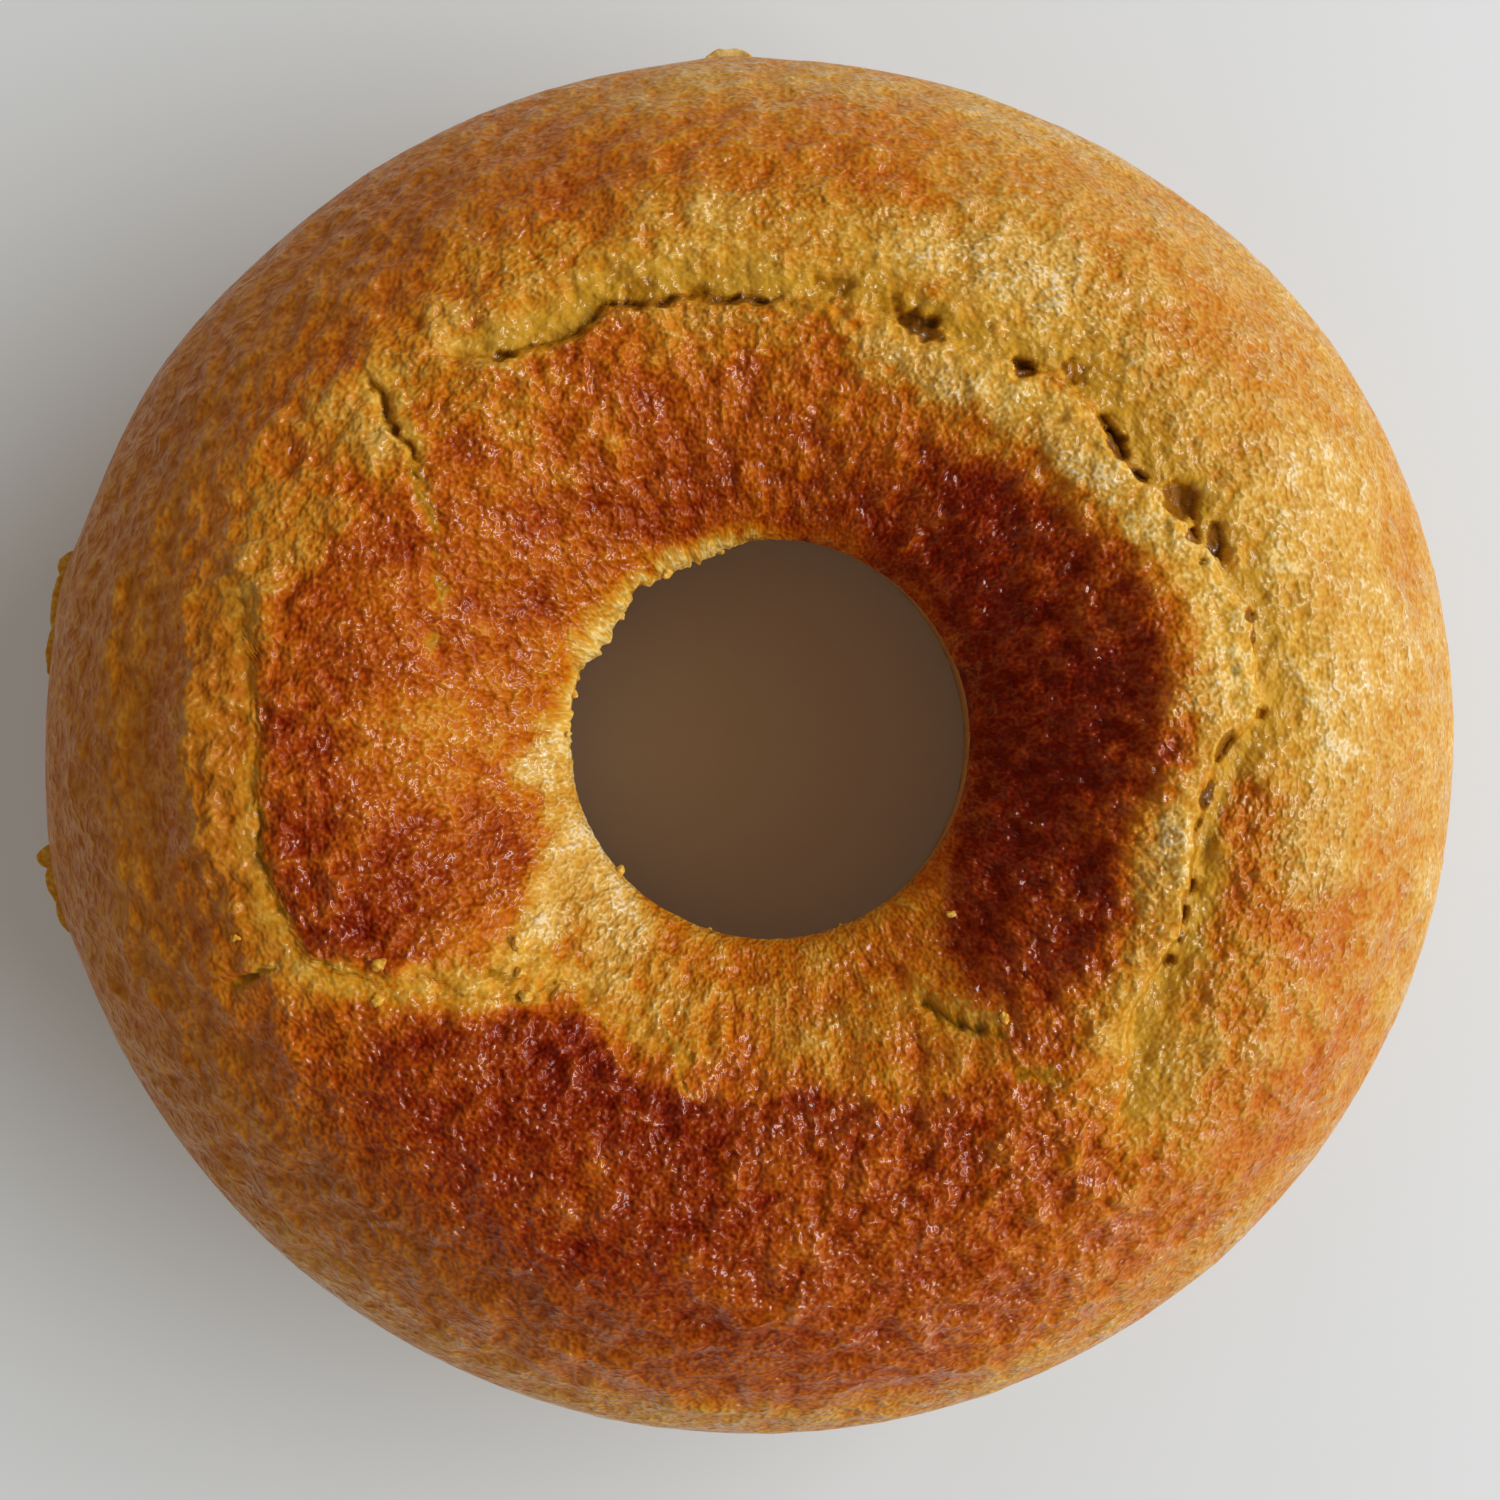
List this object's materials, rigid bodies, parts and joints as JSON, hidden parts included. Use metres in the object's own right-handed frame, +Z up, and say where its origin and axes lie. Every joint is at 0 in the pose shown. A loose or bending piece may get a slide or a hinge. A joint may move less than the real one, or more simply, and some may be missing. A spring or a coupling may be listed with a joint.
{
  "type": "cornmeal ring cake",
  "caption": "Whole uncut cornmeal ring cake with a browned, split crust on top, a round hole through the middle and a flat base it stands on",
  "frame": {"origin": "On the flat base, under the middle of the cake's outline", "axes": "+Z up through the cake, crust side up; +X and +Y across the cake, a little wider along X"},
  "size_m": [0.2368, 0.2312, 0.0813],
  "materials": {
    "crust": "browned cornmeal crust, oily and pebbly on top, paler where it has split, drier and tan down the sides"
  },
  "bodies": {
    "root": {"cake": "crust"}
  },
  "joints": []
}
